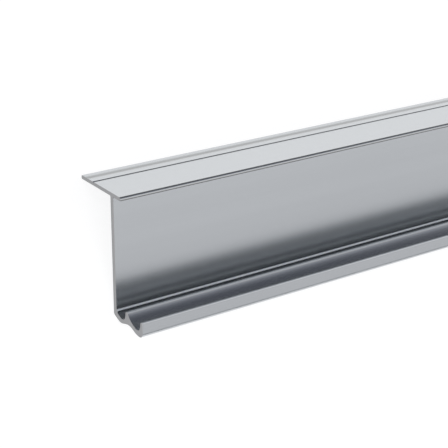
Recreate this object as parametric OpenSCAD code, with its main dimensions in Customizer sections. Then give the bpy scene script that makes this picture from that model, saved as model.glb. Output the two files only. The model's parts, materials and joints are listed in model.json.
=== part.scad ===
// Extruded aluminium profile: a flange on a web, with a foot that carries two side by side tracks.
// The section is drawn in its upright position, u to the front and z up, and laid on its back to rest.

/* [Stock] */
// Length that the stock is cut to
length = 1000; // [100:10:6000]
// Height of the section, from the lowest line of the foot to the top of the flange
height = 49.3; // [40:0.1:80]

/* [Flange] */
// Reach of the flange behind the back of the web
flange_back = 21.1; // [16:0.1:40]
// Reach of the flange in front of the front of the web
flange_front = 5; // [3:0.1:15]
// Thickness of the flange
flange_t = 1.4; // [1.2:0.1:3]
// Radius of the upper front edge of the flange
nose_r = 1; // [0.2:0.1:1]
// Distance of the shallow strip's middle from the back edge of the flange
strip_inset = 4; // [3:0.1:5]
// Width of the shallow strip
strip_w = 3.2; // [2:0.1:4]
// Depth of the shallow strip, before its soft turns
strip_depth = 0.15; // [0.05:0.05:0.3]
// Distance of the drill line from the back edge of the flange
drill_line_inset = 8.7; // [7.5:0.1:12]
// Width of the V of the drill line
drill_line_w = 0.9; // [0.3:0.1:1.2]
// Depth of the V of the drill line
drill_line_depth = 0.5; // [0.1:0.05:0.7]

/* [Web] */
// Thickness of the web
web_t = 2; // [1.4:0.1:3]
// Radius where the flange meets the web
inner_r = 0.4; // [0.2:0.1:1]

/* [Tracks] */
// Number of tracks side by side
track_count = 2; // [1:1:4]
// Distance from one track to the next
track_pitch = 10.4; // [9.8:0.1:16]
// Distance of the first groove's lowest line from the back of the web
groove_u = 5.8; // [5.2:0.1:6.2]
// Height of the grooves' lowest lines above the foot's lowest line
groove_z = 2.1; // [1.8:0.05:2.3]
// Radius of the grooves' round bottoms
groove_r = 2.6; // [1.5:0.1:3]
// Slope of the ramp that leads down to a groove, in degrees
ramp_slope = 23; // [15:1:30]
// Distance from a groove's lowest line back to the foot of the ridge
ramp_run = 5.2; // [4.5:0.1:5.4]
// Radius where a ridge's front turns into the ramp
ridge_foot_r = 2.6; // [0.3:0.1:4]
// Lean of the risers' inner faces, in degrees
riser_lean = 4; // [1:1:15]
// Height of the risers above the foot's lowest line
crest_z = 6.3; // [5.5:0.05:8]
// Radius along the outer top edges of the risers
crest_r = 0.45; // [0.1:0.05:0.5]
// Radius along the inner top edges of the risers
crest_inner_r = 0.9; // [0.1:0.1:1]
// Thickness of the risers at the top
riser_t = 1.4; // [1:0.1:2]
// Radius of the front lip's lower edge
lip_r = 2.2; // [0.5:0.1:3]
// Width of the ledge between the web and the first groove
ledge_w = 0.9; // [0.4:0.1:1.5]
// Height of the ledge above the foot's lowest line
ledge_z = 4.1; // [3.7:0.1:5]
// Radius of the ledge's front edge
ledge_nose_r = 0.5; // [0.2:0.1:0.9]

/* [Underside] */
// Height of the heel's slope where it leaves the back of the web
heel_z = 1.95; // [1.2:0.05:2.6]
// Run of the heel's slope to the front
heel_run = 4; // [3:0.1:4.8]
// Height of the rear track's underside above the foot's lowest line
heel_lift = 0.3; // [0.05:0.05:0.6]
// Radius where the web turns into the heel
heel_r = 1; // [0.3:0.1:1.6]
// Radius where the heel turns into the underside
heel_toe_r = 5; // [2:0.5:8]
// Distance of the lines between lobes and hollows behind the grooves' lowest lines
lobe_shift = 0.2; // [0:0.1:0.3]
// Height of the hollow's peak, before rounding, above the foot's lowest line
hollow_z = 1.95; // [1:0.05:2.4]
// Radius of the hollow's curves
hollow_r = 7.5; // [2:0.5:9]

/* [Hidden] */
$fn = 96;
// Radius of the edges that the die leaves almost sharp
edge_r = 0.3;
// Radius where the web meets the ledge
ledge_r = 0.2;
// Radius of the soft turns of the shallow strip
strip_r = 12;
// Overrun of the pieces that round a corner
overrun = 0.2;
// How far a corner's arc stands past its sides, so that it crosses them instead of only touching
bite = 0.001;
flange_under = height - flange_t;
flange_nose_u = web_t + flange_front;
drill_line_u = drill_line_inset - flange_back;
strip_u = strip_inset - flange_back;
ledge_u = web_t + ledge_w;
last_track = track_count - 1;
riser_h = crest_z - groove_z;

// Reach of a groove's round bottom to the back, up to its ramp, and to the front, up to its riser
ramp_start = groove_r * tan(ramp_slope / 2);
riser_start = groove_r * tan((90 - riser_lean) / 2);

// Place of a track's lowest line, of the inner top edge of its riser and of the riser's outer top edge
function lowest_u(track) = groove_u + track * track_pitch;
function riser_top_u(track) = lowest_u(track) + riser_start + riser_h * tan(riser_lean);
function riser_front_u(track) = riser_top_u(track) + riser_t;

// Height of the ramp at a distance behind the groove's lowest line
function ramp_z(run) = groove_z + (run - ramp_start) * tan(ramp_slope);

// A groove's corners from its ramp to the inner top edge of its riser. Its two arcs meet on the lowest line.
function groove_corners(track) = [
    [lowest_u(track) - ramp_start, groove_z, groove_r],
    [lowest_u(track) + riser_start, groove_z, groove_r],
    [riser_top_u(track), crest_z, crest_inner_r]
];

// Corners of the front of the ridge behind a track, down to the top of the track's ramp
function ridge_corners(track) = [
    [riser_front_u(track - 1), crest_z, crest_r],
    [lowest_u(track) - ramp_run, ramp_z(ramp_run), ridge_foot_r]
];

// Corners of the hollow between a track and the next one, from front to back
function hollow_corners(track) = [
    [lowest_u(track + 1) - lobe_shift, track == last_track - 1 ? 0 : heel_lift, hollow_r],
    [(lowest_u(track) + lowest_u(track + 1)) / 2, hollow_z, hollow_r],
    [lowest_u(track) - lobe_shift, heel_lift, hollow_r]
];

flange_corners = [
    // Back edge, with the lower corner that the stock lies on
    [-flange_back, flange_under, edge_r],
    [-flange_back, height, edge_r],
    // Shallow strip
    [strip_u - strip_w / 2, height, strip_r],
    [strip_u, height - strip_depth, strip_r],
    [strip_u + strip_w / 2, height, strip_r],
    // Drill line
    [drill_line_u - drill_line_w / 2, height, 0],
    [drill_line_u, height - drill_line_depth, 0],
    [drill_line_u + drill_line_w / 2, height, 0],
    // Front edge
    [flange_nose_u, height, nose_r],
    [flange_nose_u, flange_under, edge_r]
];

web_corners = [
    [web_t, flange_under, inner_r],
    [web_t, ledge_z, ledge_r],
    [ledge_u, ledge_z, ledge_nose_r],
    [ledge_u, ramp_z(groove_u - ledge_u), 0]
];

track_corners = [
    each groove_corners(0),
    for (track = [1 : 1 : last_track])
        each [each ridge_corners(track), each groove_corners(track)]
];

lip_corners = [
    [riser_front_u(last_track), crest_z, crest_r],
    [riser_front_u(last_track), 0, lip_r]
];

underside_corners = [
    for (track = [last_track - 1 : -1 : 0])
        each hollow_corners(track),
    // Heel
    [heel_run, heel_lift, heel_toe_r],
    [0, heel_z, heel_r],
    // Back of the web, up to the flange
    [0, flange_under, inner_r]
];

// The whole outline, clockwise, as [u, z, radius]
corners = [each flange_corners, each web_corners, each track_corners, each lip_corners, each underside_corners];
corner_count = len(corners);

function place(i) = let (c = corners[(i + corner_count) % corner_count]) [c[0], c[1]];
function side(i) = place(i + 1) - place(i);
function along(i) = side(i) / norm(side(i));

// Half of the angle that the outline turns through at a corner, and which way it turns
function half_turn(i) = acos(along(i - 1) * along(i)) / 2;
function turns_out(i) = cross(along(i - 1), along(i)) < 0;

// Length that a corner's arc takes off each side, as drawn and as limited by its two sides
function wanted_reach(i) = corners[(i + corner_count) % corner_count][2] * tan(half_turn(i));
function side_share(i, near, far) = norm(side(i)) / max(near + far, norm(side(i)));
function reach(i) = let (own = wanted_reach(i))
    own * min(side_share(i - 1, own, wanted_reach(i - 1)), side_share(i, own, wanted_reach(i + 1)));

// Radius of a corner's arc, true and as drawn, the two points where it leaves the sides, and its centre
function radius(i) = reach(i) / tan(half_turn(i));
function drawn_radius(i) = radius(i) + bite;
function arc_start(i) = place(i) - reach(i) * along(i - 1);
function arc_end(i) = place(i) + reach(i) * along(i);
function centre(i) = let (inward = along(i) - along(i - 1))
    place(i) + inward / norm(inward) * radius(i) / cos(half_turn(i));

// Corners that the stock lies on, and those that reach furthest to each side once it lies
rest_corner = 0;
back_corner = 1;
heel_corner = corner_count - 2;
front_corner = len(flange_corners) + len(web_corners) + len(track_corners) + len(lip_corners) - 1;

// The floor touches the flange's edge and the heel, so its line is tangent to both of their arcs
rest_line = centre(rest_corner) - centre(heel_corner);
rest_gap = radius(rest_corner) - radius(heel_corner);
lay_angle = atan2(rest_line[0], rest_line[1]) + acos(rest_gap / norm(rest_line));
across = [cos(lay_angle), -sin(lay_angle)];
upward = [sin(lay_angle), cos(lay_angle)];
lowest = centre(heel_corner) * upward - drawn_radius(heel_corner);
front_reach = centre(front_corner) * across + drawn_radius(front_corner);
back_reach = centre(back_corner) * across - drawn_radius(back_corner);

// The sliver between a sharp corner and its arc
module corner_piece(i) {
    middle = centre(i);
    grow = 1 + overrun / radius(i);
    difference() {
        polygon([
            middle,
            middle + grow * (arc_end(i) - middle),
            middle + grow * (place(i) - middle),
            middle + grow * (arc_start(i) - middle)
        ]);
        translate(middle) circle(r = drawn_radius(i));
    }
}

module corner_pieces(outward) {
    for (i = [0 : corner_count - 1])
        if (corners[i][2] > 0 && turns_out(i) == outward)
            corner_piece(i);
}

module section() {
    difference() {
        union() {
            polygon([for (i = [0 : corner_count - 1]) place(i)]);
            corner_pieces(outward = false);
        }
        corner_pieces(outward = true);
    }
}

module laid_section() {
    translate([-(front_reach + back_reach) / 2, -lowest])
        rotate(lay_angle)
            section();
}

module extruded_profile() {
    color("silver")
        rotate([90, 0, -90])
            linear_extrude(height = length, center = true)
                laid_section();
}

extruded_profile();
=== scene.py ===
"""Dresses a length of extruded aluminium track profile that lies on its back on a pale studio floor."""

import json
import logging
import math
from collections.abc import Iterator, Sequence
from dataclasses import dataclass, field
from enum import Enum
from typing import Any

import bpy
from mathutils import Matrix, Vector


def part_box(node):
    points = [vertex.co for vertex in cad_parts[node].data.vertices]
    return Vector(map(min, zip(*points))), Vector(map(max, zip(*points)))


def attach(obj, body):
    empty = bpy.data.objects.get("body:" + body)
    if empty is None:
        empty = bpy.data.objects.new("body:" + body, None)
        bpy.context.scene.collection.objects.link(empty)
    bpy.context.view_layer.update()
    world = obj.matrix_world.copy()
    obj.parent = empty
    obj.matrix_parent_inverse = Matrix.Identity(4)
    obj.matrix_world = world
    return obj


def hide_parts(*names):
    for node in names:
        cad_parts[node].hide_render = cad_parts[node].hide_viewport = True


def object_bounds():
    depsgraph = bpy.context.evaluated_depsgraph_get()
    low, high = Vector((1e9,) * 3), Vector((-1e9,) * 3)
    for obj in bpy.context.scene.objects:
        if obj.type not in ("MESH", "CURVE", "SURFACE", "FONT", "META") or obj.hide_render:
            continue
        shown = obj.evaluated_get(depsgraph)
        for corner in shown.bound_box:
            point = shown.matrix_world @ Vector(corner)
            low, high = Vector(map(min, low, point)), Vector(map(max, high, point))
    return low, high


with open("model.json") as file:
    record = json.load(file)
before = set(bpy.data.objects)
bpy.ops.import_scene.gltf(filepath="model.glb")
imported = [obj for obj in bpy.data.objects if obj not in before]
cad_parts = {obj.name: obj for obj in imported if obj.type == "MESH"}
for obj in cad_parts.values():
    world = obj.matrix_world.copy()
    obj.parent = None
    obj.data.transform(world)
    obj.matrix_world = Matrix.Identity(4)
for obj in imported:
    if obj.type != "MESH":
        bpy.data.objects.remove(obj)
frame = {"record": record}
cad_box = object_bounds()

log = logging.getLogger("track_profile")

Colour = tuple[float, float, float, float]
Grain = tuple[float, float, float]

# Sizes of the section are in millimetres, and the scene is in metres.
MM = 0.001
NODE = "extruded_profile"
WHITE: Colour = (1.0, 1.0, 1.0, 1.0)
# Value that noise has on average
NOISE_MEAN = 0.5


class Surface(Enum):
    """Finishes on the profile, each with its material slot on the mesh."""

    EXTRUDED = 0
    SAWN = 1


class Cut(Enum):
    """The two sawn ends of the stock, each with the way that it faces along the length."""

    NEAR = -1
    FAR = 1


@dataclass(frozen=True)
class Corner:
    """A corner of the section before rounding: u to the front of the web's back, z above the foot."""

    u: float
    z: float
    radius: float = 0.0


@dataclass(frozen=True)
class Stretch:
    """A straight step of the rounded outline, with the outward normal at each end."""

    start: Vector
    end: Vector
    start_normal: Vector
    end_normal: Vector


class Outline:
    """A closed clockwise line through corners, each rounded by an arc that its two sides have room for."""

    fewest_steps = 4
    # Points that lie nearer than this, in millimetres, are one point
    same_place = 0.001

    def __init__(self, corners: Sequence[Corner], arc_step: float, longest_step: float) -> None:
        """Take the corners and how they are drawn.

        Args:
            corners: the corners, clockwise.
            arc_step: the most that an arc turns in one step, in radians.
            longest_step: the longest step along an arc or a straight side, in millimetres.
        """
        self.corners = list(corners)
        self.arc_step = arc_step
        self.longest_step = longest_step

    def _corner(self, i: int) -> Corner:
        """Corner i, counted round the outline."""
        return self.corners[i % len(self.corners)]

    def _place(self, i: int) -> Vector:
        """Place of corner i."""
        return Vector((self._corner(i).u, self._corner(i).z))

    def _side(self, i: int) -> Vector:
        """Side from corner i to the next one."""
        return self._place(i + 1) - self._place(i)

    def _outward(self, i: int) -> Vector:
        """Outward normal of the side from corner i."""
        along = self._side(i).normalized()
        return Vector((-along.y, along.x))

    def _turn(self, i: int) -> float:
        """Angle that the outline turns through at a corner.

        Args:
            i: the corner's number.

        Returns:
            The angle in radians, positive where the corner stands out.
        """
        before = self._side(i - 1).normalized()
        after = self._side(i).normalized()
        cross = before.x * after.y - before.y * after.x
        return -math.atan2(cross, before.dot(after))

    def _wanted_reach(self, i: int) -> float:
        """Length that corner i's arc would take off each side."""
        return self._corner(i).radius * math.tan(abs(self._turn(i)) / 2)

    def _reach(self, i: int) -> float:
        """Length that a corner's arc takes off each side, as far as both sides have room.

        Args:
            i: the corner's number.

        Returns:
            The length in millimetres, which is 0 at a sharp corner.
        """
        own = self._wanted_reach(i)
        shares = [1.0]
        for side, other in ((i - 1, i - 1), (i, i + 1)):
            length = self._side(side).length
            shares.append(length / max(own + self._wanted_reach(other), length))
        return own * min(shares)

    def _arc(self, i: int) -> list[tuple[Vector, Vector]]:
        """Points and outward normals round a corner, from one side to the next.

        Args:
            i: the corner's number.

        Returns:
            Each point with its normal. A sharp corner gives its point twice, once for each side.
        """
        turn = self._turn(i)
        reach = self._reach(i)
        start = self._place(i) - reach * self._side(i - 1).normalized()
        normal = self._outward(i - 1)
        if reach == 0.0:
            return [(start, normal), (start, self._outward(i))]
        radius = math.copysign(reach / math.tan(abs(turn) / 2), turn)
        centre = start - radius * normal
        by_turn = math.ceil(abs(turn) / self.arc_step)
        by_length = math.ceil(abs(turn * radius) / self.longest_step)
        steps = max(self.fewest_steps, by_turn, by_length)
        points = []
        for k in range(steps + 1):
            turned = Matrix.Rotation(-turn * k / steps, 2) @ normal
            points.append((centre + radius * turned, turned))
        return points

    def _side_steps(self, start: Vector, end: Vector, normal: Vector) -> list[Stretch]:
        """Equal steps along the straight part of a side.

        Args:
            start: where the arc before the side ends.
            end: where the arc after the side starts.
            normal: the side's outward normal.

        Returns:
            The steps, or none where the two arcs meet.
        """
        length = (end - start).length
        if length < self.same_place:
            return []
        count = math.ceil(length / self.longest_step)
        points = [start.lerp(end, k / count) for k in range(count + 1)]
        return [Stretch(a, b, normal, normal) for a, b in zip(points, points[1:])]

    def stretches(self) -> list[Stretch]:
        """Follow the outline round its arcs and along the sides between them.

        Returns:
            All steps of the outline, in order.
        """
        found = []
        arcs = [self._arc(i) for i in range(len(self.corners))]
        for i, arc in enumerate(arcs):
            if self._reach(i) > 0:
                found += [Stretch(a[0], b[0], a[1], b[1]) for a, b in zip(arc, arc[1:])]
            start, normal = arc[-1]
            end = arcs[(i + 1) % len(arcs)][0][0]
            found += self._side_steps(start, end, normal)
        return found


@dataclass(frozen=True)
class FadingLine:
    """A line along the stock where the metal looks different, fading out on both sides, in millimetres."""

    u: float
    z: float
    reach: float
    depth: float = 1.0

    def at(self, place: Vector) -> float:
        """How much the line shows at a point of the section, from 0 to the line's depth."""
        share = min(1.0, (place - Vector((self.u, self.z))).length / self.reach)
        return self.depth * (1 + math.cos(math.pi * share)) / 2


@dataclass(frozen=True)
class Section:
    """The profile's section, upright, in millimetres: a flange on a web with a foot of two tracks."""

    height: float = 49.3
    # Flange
    flange_back: float = 21.1
    flange_front: float = 5.0
    flange_t: float = 1.4
    nose_r: float = 1.0
    edge_r: float = 0.3
    strip_inset: float = 4.0
    strip_w: float = 3.2
    strip_depth: float = 0.15
    strip_r: float = 12.0
    drill_line_inset: float = 8.7
    drill_line_w: float = 0.9
    drill_line_depth: float = 0.5
    # Web
    web_t: float = 2.0
    inner_r: float = 0.4
    # Tracks: the ridge's foot, the crests and the ledge lie up to 0.31 mm off the solid's
    track_count: int = 2
    track_pitch: float = 10.4
    groove_u: float = 5.8
    groove_z: float = 2.1
    groove_r: float = 2.6
    ramp_slope: float = math.radians(23)
    ramp_run: float = 5.0
    ridge_foot_r: float = 7.2
    riser_lean: float = math.radians(4)
    crest_z: float = 6.3
    crest_r: float = 0.12
    crest_inner_r: float = 1.1
    riser_t: float = 1.4
    lip_r: float = 2.2
    ledge_w: float = 0.75
    ledge_z: float = 4.05
    ledge_nose_r: float = 0.12
    ledge_r: float = 0.05
    # Underside
    heel_z: float = 1.95
    heel_run: float = 4.0
    heel_lift: float = 0.3
    heel_r: float = 1.0
    heel_toe_r: float = 5.0
    lobe_shift: float = 0.2
    hollow_z: float = 1.95
    hollow_r: float = 7.5
    # Drawing
    arc_step: float = math.radians(6)
    longest_step: float = 0.3
    # Painted shade, where the metal is also rougher, on the strip, the drill line, the flange's two front
    # edges and the rear groove
    strip_shade_reach: float = 2.1
    strip_shade_depth: float = 0.62
    strip_shade_shift: float = -0.2
    drill_line_shade_reach: float = 0.8
    drill_line_shade_shift: float = 0.2
    nose_shade_reach: float = 0.4
    lower_edge_shade_reach: float = 1.1
    groove_shade_reach: float = 4.6
    groove_shade_depth: float = 0.7
    # Painted highlights, where the metal is also smoother, on the ledge and on the outer edges of the
    # crests
    ledge_highlight_reach: float = 1.0
    crest_highlight_reach: float = 0.3
    crest_highlight_inset: float = 0.05

    @property
    def flange_under(self) -> float:
        """Height of the flange's underside."""
        return self.height - self.flange_t

    @property
    def nose_u(self) -> float:
        """Place of the flange's front edge."""
        return self.web_t + self.flange_front

    @property
    def strip_u(self) -> float:
        """Place of the middle of the shallow strip."""
        return self.strip_inset - self.flange_back

    @property
    def drill_line_u(self) -> float:
        """Place of the drill line."""
        return self.drill_line_inset - self.flange_back

    @property
    def ledge_u(self) -> float:
        """Place of the ledge's front edge."""
        return self.web_t + self.ledge_w

    @property
    def ramp_start(self) -> float:
        """Reach of a groove's round bottom to the back, up to its ramp."""
        return self.groove_r * math.tan(self.ramp_slope / 2)

    @property
    def riser_start(self) -> float:
        """Reach of a groove's round bottom to the front, before its riser is rounded into it."""
        return self.groove_r * math.tan((math.pi / 2 - self.riser_lean) / 2)

    def lowest_u(self, track: int) -> float:
        """Place of a track's lowest line."""
        return self.groove_u + track * self.track_pitch

    def riser_top_u(self, track: int) -> float:
        """Place of the inner top edge of a track's riser."""
        lean = (self.crest_z - self.groove_z) * math.tan(self.riser_lean)
        return self.lowest_u(track) + self.riser_start + lean

    def riser_front_u(self, track: int) -> float:
        """Place of the outer top edge of a track's riser."""
        return self.riser_top_u(track) + self.riser_t

    def ramp_z(self, run: float) -> float:
        """Height of a ramp at a distance behind its groove's lowest line."""
        return self.groove_z + (run - self.ramp_start) * math.tan(self.ramp_slope)

    def flange_corners(self) -> Iterator[Corner]:
        """Draw the flange with its shallow strip and its drill line.

        Yields:
            The corners, from the lower back edge over the top to the lower front edge.
        """
        back, top, line_u = -self.flange_back, self.height, self.drill_line_u
        yield Corner(back, self.flange_under, self.edge_r)
        yield Corner(back, top, self.edge_r)
        yield Corner(self.strip_u - self.strip_w / 2, top, self.strip_r)
        yield Corner(self.strip_u, top - self.strip_depth, self.strip_r)
        yield Corner(self.strip_u + self.strip_w / 2, top, self.strip_r)
        yield Corner(line_u - self.drill_line_w / 2, top)
        yield Corner(line_u, top - self.drill_line_depth)
        yield Corner(line_u + self.drill_line_w / 2, top)
        yield Corner(self.nose_u, top, self.nose_r)
        yield Corner(self.nose_u, self.flange_under, self.edge_r)

    def web_corners(self) -> Iterator[Corner]:
        """Draw the web's front and the ledge that ends it.

        Yields:
            The corners, from top to bottom.
        """
        yield Corner(self.web_t, self.flange_under, self.inner_r)
        yield Corner(self.web_t, self.ledge_z, self.ledge_r)
        yield Corner(self.ledge_u, self.ledge_z, self.ledge_nose_r)
        yield Corner(self.ledge_u, self.ramp_z(self.groove_u - self.ledge_u))

    def track_corners(self) -> Iterator[Corner]:
        """Draw the grooves and the ridges between them.

        Yields:
            The corners, from back to front.
        """
        for track in range(self.track_count):
            lowest = self.lowest_u(track)
            if track > 0:
                yield Corner(self.riser_front_u(track - 1), self.crest_z, self.crest_r)
                yield Corner(lowest - self.ramp_run, self.ramp_z(self.ramp_run), self.ridge_foot_r)
            yield Corner(lowest - self.ramp_start, self.groove_z, self.groove_r)
            yield Corner(lowest + self.riser_start, self.groove_z, self.groove_r)
            yield Corner(self.riser_top_u(track), self.crest_z, self.crest_inner_r)

    def lip_corners(self) -> Iterator[Corner]:
        """Draw the front lip's outer face.

        Yields:
            The corners, from top to bottom.
        """
        front = self.riser_front_u(self.track_count - 1)
        yield Corner(front, self.crest_z, self.crest_r)
        yield Corner(front, 0.0, self.lip_r)

    def underside_corners(self) -> Iterator[Corner]:
        """Draw the wavy underside, the heel and the web's back.

        Yields:
            The corners, from front to back and up to the flange.
        """
        for track in reversed(range(self.track_count - 1)):
            here, front = self.lowest_u(track), self.lowest_u(track + 1)
            front_z = 0.0 if track == self.track_count - 2 else self.heel_lift
            yield Corner(front - self.lobe_shift, front_z, self.hollow_r)
            yield Corner((here + front) / 2, self.hollow_z, self.hollow_r)
            yield Corner(here - self.lobe_shift, self.heel_lift, self.hollow_r)
        yield Corner(self.heel_run, self.heel_lift, self.heel_toe_r)
        yield Corner(0.0, self.heel_z, self.heel_r)
        yield Corner(0.0, self.flange_under, self.inner_r)

    def outline(self) -> list[Stretch]:
        """Draw the whole section.

        Returns:
            The steps of the outline, clockwise from the flange's lower back edge.
        """
        corners = [
            *self.flange_corners(),
            *self.web_corners(),
            *self.track_corners(),
            *self.lip_corners(),
            *self.underside_corners(),
        ]
        return Outline(corners, self.arc_step, self.longest_step).stretches()

    def dullness_and_shade(self, place: Vector) -> float:
        """How dull the metal is, and how much shade is painted on it, at a point of the outline.

        Args:
            place: the point, in millimetres.

        Returns:
            The share of dullness and painted shade, from 0 to 1.
        """
        strip_u = self.strip_u + self.strip_shade_shift
        line_u = self.drill_line_u + self.drill_line_shade_shift
        bend_u = self.nose_u - self.nose_r / 2
        # Lines of painted shade: the dark band on the strip, the shade in the drill line and the rear
        # groove, and dark lines along the flange's two front edges
        lines = (
            FadingLine(strip_u, self.height, self.strip_shade_reach, self.strip_shade_depth),
            FadingLine(line_u, self.height, self.drill_line_shade_reach),
            FadingLine(bend_u, self.height, self.nose_shade_reach),
            FadingLine(self.nose_u, self.flange_under, self.lower_edge_shade_reach),
            FadingLine(self.lowest_u(0), self.groove_z, self.groove_shade_reach, self.groove_shade_depth),
        )
        return max(line.at(place) for line in lines)

    def polish_and_highlight(self, place: Vector) -> float:
        """How smooth the metal is made, and how much highlight is painted on it, at a point of the
        outline.

        Args:
            place: the point, in millimetres.

        Returns:
            The share of polish and painted highlight, from 0 to 1.
        """
        # Lines of painted highlight on the ledge and on the outer edges of the crests
        lines = [FadingLine(self.ledge_u - self.ledge_w / 2, self.ledge_z, self.ledge_highlight_reach)]
        for track in range(self.track_count):
            crest_u = self.riser_front_u(track) - self.crest_highlight_inset
            lines.append(FadingLine(crest_u, self.crest_z, self.crest_highlight_reach))
        return max(line.at(place) for line in lines)


@dataclass(frozen=True)
class Lay:
    """How the upright section lies on the floor: turned about the length, then moved, in millimetres."""

    turn: float
    shift_y: float
    shift_z: float

    @classmethod
    def in_frame(cls, outline: Sequence[Stretch]) -> "Lay":
        """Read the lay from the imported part.

        Args:
            outline: the upright section.

        Returns:
            The turn of the flange's top face, and the move that fits the outline to the part's box.
        """
        top = next(m for m in frame["record"]["mounts"] if m["name"] == "flange_top")
        turn = math.atan2(top["axis"][1], top["axis"][2])
        unmoved = cls(turn, 0.0, 0.0)
        laid = [unmoved.point(0.0, step.start) for step in outline]
        low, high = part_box(NODE)
        middle = (min(p.y for p in laid) + max(p.y for p in laid)) / 2
        lowest = min(p.z for p in laid)
        return cls(turn, ((low.y + high.y) / 2 - middle) / MM, (low.z - lowest) / MM)

    def direction(self, along: float, front: float, up: float) -> Vector:
        """A direction of the upright section, as it lies."""
        sine, cosine = math.sin(self.turn), math.cos(self.turn)
        return Vector((along, up * sine - front * cosine, front * sine + up * cosine))

    def normal(self, outward: Vector) -> Vector:
        """An outward normal of the upright section, as it lies."""
        return self.direction(0.0, outward.x, outward.y)

    def point(self, x: float, place: Vector) -> Vector:
        """A point of the section at x metres along the frame, in metres."""
        laid = self.direction(0.0, place.x, place.y) + Vector((0.0, self.shift_y, self.shift_z))
        return Vector((x, laid.y * MM, laid.z * MM))


class Signal:
    """A number that changes over a surface: an output socket with arithmetic, which adds Math nodes."""

    def __init__(self, graph: "ShaderGraph", socket: bpy.types.NodeSocket) -> None:
        """Wrap an output socket of a graph."""
        self.graph = graph
        self.socket = socket

    def __add__(self, other: "Signal | float") -> "Signal":
        """Sum."""
        return self.graph.math("ADD", self, other)

    def __sub__(self, other: "Signal | float") -> "Signal":
        """Difference."""
        return self.graph.math("SUBTRACT", self, other)

    def __rsub__(self, other: float) -> "Signal":
        """Difference from a number."""
        return self.graph.math("SUBTRACT", other, self)

    def __mul__(self, other: "Signal | float") -> "Signal":
        """Product."""
        return self.graph.math("MULTIPLY", self, other)

    __radd__ = __add__
    __rmul__ = __mul__


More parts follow.
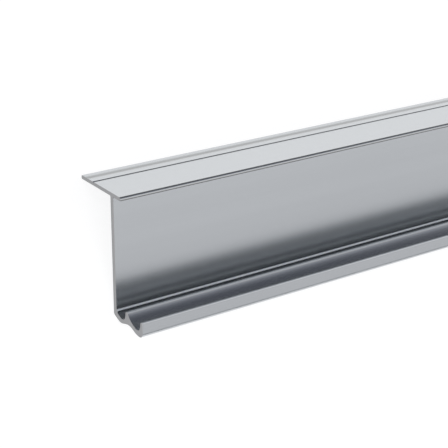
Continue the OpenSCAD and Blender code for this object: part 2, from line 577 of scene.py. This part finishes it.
class ShaderGraph:
    """A node tree, to which every node is added in one way."""

    # Numbers of a Mix node's colour sockets, because its other sockets have the same names
    mix_factor = 0
    mix_low = 6
    mix_high = 7
    mix_result = 2

    def __init__(self, tree: bpy.types.NodeTree) -> None:
        """Take over a tree and empty it."""
        self.tree = tree
        self.tree.nodes.clear()

    def node(
        self,
        kind: str,
        settings: dict[str, Any] | None = None,
        sockets: dict[str | int, Any] | None = None,
    ) -> bpy.types.Node:
        """Add a node.

        Args:
            kind: the node's type.
            settings: the node's own settings, which are set first.
            sockets: a value, a signal or an output socket for each input, by name or number.

        Returns:
            The new node.
        """
        made = self.tree.nodes.new(kind)
        for name, value in (settings or {}).items():
            if name == "stops":
                self.set_stops(made.color_ramp, value)
            else:
                setattr(made, name, value)
        for key, value in (sockets or {}).items():
            source = value.socket if isinstance(value, Signal) else value
            if isinstance(source, bpy.types.NodeSocket):
                self.tree.links.new(source, made.inputs[key])
            else:
                made.inputs[key].default_value = source
        return made

    @staticmethod
    def set_stops(ramp: bpy.types.ColorRamp, stops: Sequence[tuple[float, Colour]]) -> None:
        """Give a ramp its stops, with even blends between them.

        Args:
            ramp: the ramp, which still has its first two stops.
            stops: the place and colour of each stop, from the lowest to the highest.
        """
        ramp.interpolation = "LINEAR"
        while len(ramp.elements) < len(stops):
            ramp.elements.new(1.0)
        for element, (position, colour) in zip(ramp.elements, stops):
            element.position = position
            element.color = colour

    def math(self, operation: str, first: Signal | float, second: Signal | float) -> Signal:
        """Combine two numbers by a Math node."""
        made = self.node("ShaderNodeMath", {"operation": operation}, {0: first, 1: second})
        return Signal(self, made.outputs[0])

    def attribute(self, name: str) -> Signal:
        """A number that the mesh holds for each point."""
        made = self.node("ShaderNodeAttribute", {"attribute_name": name})
        return Signal(self, made.outputs["Fac"])

    def place(self) -> bpy.types.NodeSocket:
        """Place on the surface in the frame, in metres."""
        return self.node("ShaderNodeTexCoord").outputs["Object"]

    def noise(self, place: bpy.types.NodeSocket, grain: Grain, detail: float) -> Signal:
        """Smooth noise from 0 to 1.

        Args:
            place: the place that it is read at.
            grain: the noise's grain along X, Y and Z, in metres.
            detail: how many finer layers it has.

        Returns:
            The noise, about NOISE_MEAN on average.
        """
        counts = tuple(1 / size for size in grain)
        scaled = self.node("ShaderNodeVectorMath", {"operation": "MULTIPLY"}, {0: place, 1: counts})
        made = self.node(
            "ShaderNodeTexNoise",
            {"noise_dimensions": "3D"},
            {"Vector": scaled.outputs[0], "Scale": 1.0, "Detail": detail},
        )
        return Signal(self, made.outputs["Fac"])

    def fade(self, value: Signal, start: float, end: float) -> Signal:
        """Smooth step between two values.

        Args:
            value: the number that decides.
            start: the value at which the step is 0.
            end: the value at which the step is 1.

        Returns:
            The step, from 0 to 1.
        """
        made = self.node(
            "ShaderNodeMapRange",
            {"interpolation_type": "SMOOTHSTEP"},
            {"Value": value, "From Min": start, "From Max": end},
        )
        return Signal(self, made.outputs["Result"])

    def mix_colour(
        self, factor: Signal, low: Colour | bpy.types.NodeSocket, high: Colour | bpy.types.NodeSocket
    ) -> bpy.types.NodeSocket:
        """Blend two colours.

        Args:
            factor: the share of the second colour, from 0 to 1.
            low: the first colour.
            high: the second colour.

        Returns:
            The colour between them.
        """
        made = self.node(
            "ShaderNodeMix",
            {"data_type": "RGBA", "clamp_factor": True},
            {self.mix_factor: factor, self.mix_low: low, self.mix_high: high},
        )
        return made.outputs[self.mix_result]

    def varied(self, tone: Signal, colour: Colour, spread: float) -> bpy.types.NodeSocket:
        """A colour that goes from darker to lighter by a spread as the tone goes from 0 to 1."""
        return self.mix_colour(tone, toned(colour, 1 - spread), toned(colour, 1 + spread))

    def bump(self, height: Signal, depth: float, strength: float) -> bpy.types.NodeSocket:
        """Normal that follows a height, which is depth metres deep."""
        made = self.node("ShaderNodeBump", {}, {"Strength": strength, "Distance": depth, "Height": height})
        return made.outputs["Normal"]

    def metal(self, colour: bpy.types.NodeSocket, roughness: Signal, normal: bpy.types.NodeSocket) -> None:
        """End the tree in a bare metal surface."""
        shader = self.node(
            "ShaderNodeBsdfPrincipled",
            {},
            {"Base Color": colour, "Metallic": 1.0, "Roughness": roughness, "Normal": normal},
        )
        self.node("ShaderNodeOutputMaterial", {}, {"Surface": shader.outputs[0]})


def toned(colour: Colour, tone: float) -> Colour:
    """A colour made lighter or darker by a factor."""
    return (colour[0] * tone, colour[1] * tone, colour[2] * tone, 1.0)


def new_material(name: str) -> bpy.types.Material:
    """Make an empty material with nodes.

    Args:
        name: the material's name.

    Returns:
        The material.
    """
    material = bpy.data.materials.new(name)
    material.use_nodes = True
    return material


@dataclass(frozen=True)
class ExtrudedFinish:
    """Satin aluminium as it leaves the die, with fine lines along the length, and with painted shade and
    painted highlights along some edges and hollows.
    """

    colour: Colour = (0.600, 0.622, 0.640, 1.0)
    roughness: float = 0.25
    # Painted highlight: how much lighter the colour is on the ledge and the crests
    highlight_tone: float = 1.42
    polish_roughness: float = -0.15
    # Painted shade: the dark colour on the strip, the drill line, the flange's front edges and the rear
    # groove
    painted_shade_colour: Colour = (0.245, 0.247, 0.24, 1.0)
    dull_roughness: float = 0.12
    # Die lines, wider streaks and soft clouds, with their grain along X, Y and Z in metres
    line_grain: Grain = (0.5, 0.0006, 0.0006)
    line_detail: float = 2.0
    line_share: float = 0.3
    line_roughness: float = 0.06
    line_depth: float = 0.00002
    line_strength: float = 0.25
    streak_grain: Grain = (1.2, 0.004, 0.004)
    streak_detail: float = 1.0
    streak_share: float = 0.4
    cloud_grain: Grain = (0.12, 0.03, 0.03)
    cloud_detail: float = 2.0
    cloud_share: float = 0.3
    cloud_roughness: float = 0.05
    tone_spread: float = 0.05
    # Names of the numbers that the mesh holds
    polish_and_highlight_attribute: str = "polish_and_highlight"
    dullness_and_shade_attribute: str = "dullness_and_shade"

    def material(self) -> bpy.types.Material:
        """Mix the finish.

        Returns:
            The finish as a material.
        """
        material = new_material("extruded_aluminium")
        graph = ShaderGraph(material.node_tree)
        place = graph.place()
        lines = graph.noise(place, self.line_grain, self.line_detail)
        streaks = graph.noise(place, self.streak_grain, self.streak_detail)
        clouds = graph.noise(place, self.cloud_grain, self.cloud_detail)
        polish_and_highlight = graph.attribute(self.polish_and_highlight_attribute)
        dull_and_shade = graph.attribute(self.dullness_and_shade_attribute)
        tone = self.streak_share * streaks + self.line_share * lines + self.cloud_share * clouds
        clean = graph.varied(tone, self.colour, self.tone_spread)
        # Painted shade darkens the colour along its lines, and painted highlight lightens it on the ledge
        # and the crests
        with_painted_shade = graph.mix_colour(dull_and_shade, clean, self.painted_shade_colour)
        colour = graph.mix_colour(polish_and_highlight, with_painted_shade, toned(self.colour, self.highlight_tone))
        roughness = (
            self.roughness
            + self.line_roughness * (lines - NOISE_MEAN)
            + self.cloud_roughness * (clouds - NOISE_MEAN)
            + self.dull_roughness * dull_and_shade
            + self.polish_roughness * polish_and_highlight
        )
        graph.metal(colour, roughness, graph.bump(lines, self.line_depth, self.line_strength))
        return material


@dataclass(frozen=True)
class SawnFinish:
    """Aluminium as the saw leaves it: flat arcs of the blade's teeth, paler where they bite."""

    colour: Colour = (0.36, 0.362, 0.37, 1.0)
    roughness: float = 0.5
    # Middle of the blade, and the share of each axis that counts in the distance from it
    blade_centre: tuple[float, float, float] = (0.0, -0.03, -0.16)
    across_shares: tuple[float, float, float] = (0.0, 1.0, 1.0)
    mark_grain: float = 0.0005
    mark_detail: float = 2.0
    mark_roughness: float = 0.16
    mark_depth: float = 0.00003
    mark_strength: float = 0.5
    tone_spread: float = 0.12

    def material(self) -> bpy.types.Material:
        """Mix the finish.

        Returns:
            The finish as a material.
        """
        material = new_material("sawn_aluminium")
        graph = ShaderGraph(material.node_tree)
        across = graph.node(
            "ShaderNodeVectorMath",
            {"operation": "MULTIPLY"},
            {0: graph.place(), 1: self.across_shares},
        )
        reach = graph.node(
            "ShaderNodeVectorMath",
            {"operation": "DISTANCE"},
            {0: across.outputs[0], 1: self.blade_centre},
        )
        teeth = graph.node(
            "ShaderNodeTexNoise",
            {"noise_dimensions": "1D"},
            {"W": reach.outputs["Value"], "Scale": 1 / self.mark_grain, "Detail": self.mark_detail},
        )
        marks = Signal(graph, teeth.outputs["Fac"])
        colour = graph.varied(marks, self.colour, self.tone_spread)
        roughness = self.roughness + self.mark_roughness * (marks - NOISE_MEAN)
        graph.metal(colour, roughness, graph.bump(marks, self.mark_depth, self.mark_strength))
        return material


@dataclass(frozen=True)
class BakeMap:
    """Map that the finishes are baked through: the sides in one sheet, and the two ends beside it."""

    name: str = "OFBake"
    side_share: float = 0.88
    gap: float = 0.01

    def side_place(self, along_share: float, round_share: float) -> Vector:
        """Place of a point of the sides, by its share of the length and of the way round the section."""
        return Vector((along_share * self.side_share, self._inside(round_share)))

    def end_place(self, cut: Cut, across_share: float, up_share: float) -> Vector:
        """Place of a point of an end.

        Args:
            cut: the end.
            across_share: the point's share of the section's width.
            up_share: the point's share of the section's height.

        Returns:
            The place on the map.
        """
        row = list(Cut).index(cut)
        across = self.side_share + self._inside(across_share) * (1 - self.side_share)
        return Vector((across, (row + self._inside(up_share)) / len(Cut)))

    def _inside(self, share: float) -> float:
        """A share of a field, kept off the field's edges by the gap."""
        return self.gap + share * (1 - 2 * self.gap)


@dataclass
class FaceList:
    """Faces of a mesh as they are gathered, with a normal and a place on the map for each corner."""

    corners: list[list[int]] = field(default_factory=list)
    normals: list[Vector] = field(default_factory=list)
    map_places: list[Vector] = field(default_factory=list)
    surfaces: list[Surface] = field(default_factory=list)

    def add(
        self, corners: list[int], normals: list[Vector], map_places: list[Vector], surface: Surface
    ) -> None:
        """Add one face.

        Args:
            corners: the numbers of its points.
            normals: the normal at each of them.
            map_places: the place on the map of each of them.
            surface: the face's finish.
        """
        self.corners.append(corners)
        self.normals += normals
        self.map_places += map_places
        self.surfaces.append(surface)

    def mesh(self, name: str, points: Sequence[Vector], map_name: str) -> bpy.types.Mesh:
        """Make the mesh.

        Args:
            name: the mesh's name.
            points: the points that the faces number.
            map_name: the name of the map.

        Returns:
            The mesh, with its normals, its map and the finish of each face.
        """
        made = bpy.data.meshes.new(name)
        made.from_pydata(points, [], self.corners)
        made.polygons.foreach_set("use_smooth", [True] * len(self.corners))
        made.polygons.foreach_set("material_index", [s.value for s in self.surfaces])
        layer = made.uv_layers.new(name=map_name)
        layer.uv.foreach_set("vector", [value for place in self.map_places for value in place])
        made.normals_split_custom_set(self.normals)
        return made


@dataclass
class TrackProfile:
    """The stock itself: the section drawn along the length between its two sawn ends."""

    section: Section = field(default_factory=Section)
    extruded: ExtrudedFinish = field(default_factory=ExtrudedFinish)
    sawn: SawnFinish = field(default_factory=SawnFinish)
    bake_map: BakeMap = field(default_factory=BakeMap)
    outline: list[Stretch] = field(init=False)
    lay: Lay = field(init=False)
    ends: dict[Cut, float] = field(init=False)

    def __post_init__(self) -> None:
        """Draw the outline and read where it lies."""
        self.outline = self.section.outline()
        self.lay = Lay.in_frame(self.outline)
        low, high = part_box(NODE)
        self.ends = {Cut.NEAR: low.x, Cut.FAR: high.x}

    def add_sides(self, faces: FaceList) -> None:
        """Add a face from end to end for each step of the outline, with exact normals on its arcs.

        Args:
            faces: the list that the faces go into.
        """
        count = len(self.outline)
        whole = sum((step.end - step.start).length for step in self.outline)
        done = 0.0
        for k, step in enumerate(self.outline):
            after = (k + 1) % count
            start, end = self.lay.normal(step.start_normal), self.lay.normal(step.end_normal)
            reached = done + (step.end - step.start).length
            shares = ((0.0, done), (0.0, reached), (1.0, reached), (1.0, done))
            faces.add(
                [k, after, count + after, count + k],
                [start, end, end, start],
                [self.bake_map.side_place(along, way / whole) for along, way in shares],
                Surface.EXTRUDED,
            )
            done = reached

    def add_end(self, faces: FaceList, cut: Cut) -> None:
        """Add the flat sawn face of one end.

        Args:
            faces: the list that the face goes into.
            cut: the end.
        """
        count = len(self.outline)
        order = list(range(count)) if cut is Cut.FAR else list(reversed(range(count)))
        back = -self.section.flange_back
        width = self.section.riser_front_u(self.section.track_count - 1) - back
        places = []
        for k in order:
            point = self.outline[k].start
            across, up = (point.x - back) / width, point.y / self.section.height
            places.append(self.bake_map.end_place(cut, across, up))
        first = list(Cut).index(cut) * count
        normals = [Vector((cut.value, 0.0, 0.0))] * count
        faces.add([first + k for k in order], normals, places, Surface.SAWN)

    def build(self) -> bpy.types.Object:
        """Make the bar, which holds for each point its polish with painted highlight, and its dullness
        with painted shade.

        Returns:
            The bar, without its finishes.
        """
        places = [step.start for step in self.outline]
        points = [self.lay.point(self.ends[cut], place) for cut in Cut for place in places]
        faces = FaceList()
        self.add_sides(faces)
        for cut in Cut:
            self.add_end(faces, cut)
        mesh = faces.mesh("profile_bar", points, self.bake_map.name)
        # Shares of painted highlight and painted shade at each point, which the extruded finish reads
        looks = {
            self.extruded.polish_and_highlight_attribute: [self.section.polish_and_highlight(place) for place in places],
            self.extruded.dullness_and_shade_attribute: [self.section.dullness_and_shade(place) for place in places],
        }
        for name, values in looks.items():
            mesh.attributes.new(name, "FLOAT", "POINT").data.foreach_set("value", values * len(Cut))
        bar = bpy.data.objects.new("profile_bar", mesh)
        bpy.context.scene.collection.objects.link(bar)
        return bar

    def dress(self, bar: bpy.types.Object) -> None:
        """Give the bar its finishes and set it in the frame.

        Args:
            bar: the bar that build made.
        """
        finishes = {Surface.EXTRUDED: self.extruded, Surface.SAWN: self.sawn}
        for surface in Surface:
            bar.data.materials.append(finishes[surface].material())
        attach(bar, "root")
        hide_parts(NODE)


@dataclass(frozen=True)
class StudioFloor:
    """Pale floor that shows white, with the object's soft shadow on it."""

    half_side: float = 30.0
    paper: Colour = (0.8, 0.8, 0.8, 1.0)
    shadow_paper: Colour = (0.35, 0.35, 0.35, 1.0)
    glow: float = 0.78

    def material(self) -> bpy.types.Material:
        """Mix paper that looks white to the eye and in reflections, and plain to other light.

        Returns:
            The paper as a material.
        """
        material = new_material("floor_paper")
        graph = ShaderGraph(material.node_tree)
        rays = graph.node("ShaderNodeLightPath").outputs
        kinds = ("Is Camera Ray", "Is Glossy Ray", "Is Transmission Ray")
        camera, glossy, through = (Signal(graph, rays[kind]) for kind in kinds)
        seen = graph.math("MAXIMUM", graph.math("MAXIMUM", camera, glossy), through)
        plain = graph.node("ShaderNodeBsdfDiffuse", {}, {"Color": self.paper})
        shaded = graph.node("ShaderNodeBsdfDiffuse", {}, {"Color": self.shadow_paper})
        light = graph.node("ShaderNodeEmission", {}, {"Strength": self.glow})
        white = graph.node("ShaderNodeAddShader", {}, {0: shaded.outputs[0], 1: light.outputs[0]})
        paper = graph.node("ShaderNodeMixShader", {}, {0: seen, 1: plain.outputs[0], 2: white.outputs[0]})
        graph.node("ShaderNodeOutputMaterial", {}, {"Surface": paper.outputs[0]})
        return material

    def build(self) -> bpy.types.Object:
        """Lay the floor under the object.

        Returns:
            The floor.
        """
        level = cad_box[0].z
        half = self.half_side
        corners = [(-half, -half, level), (half, -half, level), (half, half, level), (-half, half, level)]
        mesh = bpy.data.meshes.new("studio_floor")
        mesh.from_pydata(corners, [], [(0, 1, 2, 3)])
        mesh.materials.append(self.material())
        floor = bpy.data.objects.new("studio_floor", mesh)
        bpy.context.scene.collection.objects.link(floor)
        return floor


@dataclass(frozen=True)
class Light:
    """Brightness of the studio at an angle over the stock, in degrees up from the flange's side."""

    angle: float
    level: float

    @property
    def share(self) -> float:
        """Share of the half turn over the stock."""
        return math.radians(self.angle) / math.pi


@dataclass(frozen=True)
class StudioDome:
    """Soft light in bands along the stock, with a dim card beyond its far end on the flange's side."""

    # Tint of the dimmest light, and of light from the bright level up
    dim_tint: Colour = (0.92, 1.0, 1.27, 1.0)
    bright_tint: Colour = (1.0, 1.0, 1.02, 1.0)
    bright_level: float = 0.5
    open_side: tuple[Light, ...] = (
        Light(0.0, 0.50),
        Light(40.0, 0.62),
        Light(92.0, 1.05),
    )
    card_side: tuple[Light, ...] = (
        Light(0.0, 0.10),
        Light(40.0, 0.09),
        Light(52.0, 0.11),
        Light(62.0, 0.16),
        Light(72.0, 0.24),
        Light(80.0, 0.35),
        Light(86.0, 0.56),
        Light(92.0, 1.05),
    )
    foot_side: tuple[Light, ...] = (
        Light(120.0, 1.15),
        Light(138.0, 0.72),
        Light(160.0, 0.57),
        Light(180.0, 0.10),
    )
    # Where the card begins and ends, by how far a direction points along the stock
    card_start: tuple[float, float] = (0.0, 0.22)
    card_end: tuple[float, float] = (0.66, 0.84)

    def tint(self, level: float) -> Colour:
        """Tint of the light, cooler where it is dim.

        Args:
            level: the light's brightness.

        Returns:
            The tint.
        """
        bright = min(1.0, level / self.bright_level)
        red, green, blue, alpha = (
            dim + (full - dim) * bright for dim, full in zip(self.dim_tint, self.bright_tint)
        )
        return (red, green, blue, alpha)

    def bands(self, graph: ShaderGraph, turn: Signal, lights: Sequence[Light]) -> bpy.types.NodeSocket:
        """Colour of the light by the share of the half turn over the stock."""
        stops = [(light.share, toned(self.tint(light.level), light.level)) for light in lights]
        return graph.node("ShaderNodeValToRGB", {"stops": stops}, {0: turn}).outputs[0]

    def build(self) -> bpy.types.World:
        """Make the world that gives the light, and that is white to the camera.

        Returns:
            The world.
        """
        world = bpy.data.worlds.new("studio_dome")
        world.use_nodes = True
        graph = ShaderGraph(world.node_tree)
        way = graph.node("ShaderNodeTexCoord").outputs["Generated"]
        parts = graph.node("ShaderNodeSeparateXYZ", {}, {0: way})
        along, across, up = (Signal(graph, parts.outputs[name]) for name in "XYZ")
        turn = graph.math("ARCTAN2", up, across) * (1 / math.pi)
        card = graph.fade(along, *self.card_start) * (1 - graph.fade(along, *self.card_end))
        light = graph.mix_colour(
            card,
            self.bands(graph, turn, self.open_side + self.foot_side),
            self.bands(graph, turn, self.card_side + self.foot_side),
        )
        seen = Signal(graph, graph.node("ShaderNodeLightPath").outputs["Is Camera Ray"])
        colour = graph.mix_colour(seen, light, WHITE)
        shader = graph.node("ShaderNodeBackground", {}, {"Color": colour, "Strength": 1.0})
        graph.node("ShaderNodeOutputWorld", {}, {"Surface": shader.outputs[0]})
        bpy.context.scene.world = world
        return world


@dataclass(frozen=True)
class PhotoCamera:
    """Camera at the photograph's viewing angle, stated against the upright section at its near end."""

    lens: float = 103.66
    sensor: float = 36.0
    pitch: float = math.radians(21.961)
    yaw: float = math.radians(34.246)
    roll: float = math.radians(-0.245)
    # Place along the stock, in front of the web's back and above the flange's top, in millimetres
    along: float = -205.52
    front: float = 372.90
    above_flange: float = 158.98
    # Nearest and furthest distance that it sees, in metres
    clip_start: float = 0.01
    clip_end: float = 100.0

    def build(self, profile: TrackProfile) -> bpy.types.Object:
        """Place the camera and make it the scene's.

        Args:
            profile: the stock that the camera looks at.

        Returns:
            The camera.
        """
        data = bpy.data.cameras.new("photo_camera")
        data.sensor_fit = "HORIZONTAL"
        data.sensor_width = self.sensor
        data.lens = self.lens
        data.clip_start = self.clip_start
        data.clip_end = self.clip_end
        camera = bpy.data.objects.new("photo_camera", data)
        level = math.cos(self.pitch)
        forward = Vector((math.sin(self.yaw) * level, math.cos(self.yaw) * level, -math.sin(self.pitch)))
        right = Vector((math.cos(self.yaw), -math.sin(self.yaw), 0.0))
        down = forward.cross(right)
        turned_right = math.cos(self.roll) * right + math.sin(self.roll) * down
        turned_down = math.cos(self.roll) * down - math.sin(self.roll) * right
        axes = [
            profile.lay.direction(axis.x, -axis.y, axis.z)
            for axis in (turned_right, -turned_down, -forward)
        ]
        near = profile.ends[Cut.NEAR]
        stand = Vector((self.front, profile.section.height + self.above_flange))
        place = profile.lay.point(near + self.along * MM, stand)
        turn = Matrix(axes).transposed().to_4x4()
        camera.matrix_world = Matrix.Translation(place) @ turn
        bpy.context.scene.collection.objects.link(camera)
        bpy.context.scene.camera = camera
        return camera


def main() -> None:
    """Build the floor, the light, the profile and the camera, in that order."""
    logging.basicConfig(level=logging.INFO, format="%(message)s")
    bpy.context.scene.view_settings.view_transform = "Standard"
    floor = StudioFloor().build()
    log.info("floor %s", floor.name)
    dome = StudioDome().build()
    log.info("light %s", dome.name)
    profile = TrackProfile()
    bar = profile.build()
    profile.dress(bar)
    log.info("piece %s with %d faces", bar.name, len(bar.data.polygons))
    camera = PhotoCamera().build(profile)
    log.info("camera %s", camera.name)


if __name__ == "__main__":
    main()
